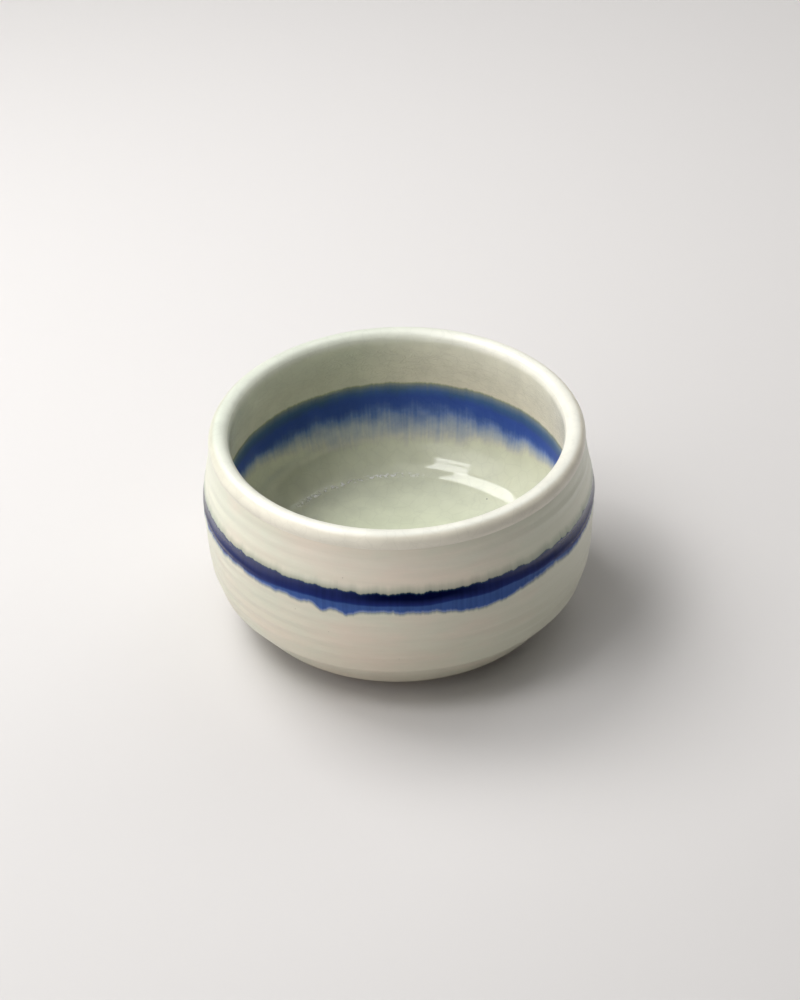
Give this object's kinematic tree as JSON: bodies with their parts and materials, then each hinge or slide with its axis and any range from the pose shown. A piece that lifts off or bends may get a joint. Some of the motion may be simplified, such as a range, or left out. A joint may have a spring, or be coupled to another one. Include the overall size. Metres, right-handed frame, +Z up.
{
  "type": "tea bowl",
  "caption": "Wheel-thrown tea bowl with a rolled lip, near-upright wall, turned chamfer and foot ring, glazed inside and out, with a cobalt band round each face.",
  "frame": {"origin": "under the middle of the foot ring, on the surface that the bowl stands on", "axes": "+Z up along the axis that the bowl was thrown about; -Y is the front, the side that the picture shows"},
  "size_m": [0.1206, 0.1206, 0.066],
  "materials": {
    "stoneware": "fired stoneware, bare and matt, with fine turning lines",
    "celadon_glaze": "glossy pale green celadon with a fine crackle, pooled on the floor",
    "inner_cobalt": "cobalt blue melted into the celadon, feathered into streaks at its foot",
    "ivory_glaze": "satin ivory glaze, faintly mottled, over throwing rings",
    "outer_cobalt": "thick near-black cobalt stripe with a lighter blue run below it"
  },
  "bodies": {
    "root": {"clay_body": "stoneware", "liner_glaze": "celadon_glaze", "inner_cobalt_band": "inner_cobalt", "outer_glaze": "ivory_glaze", "outer_cobalt_band": "outer_cobalt"}
  },
  "joints": []
}
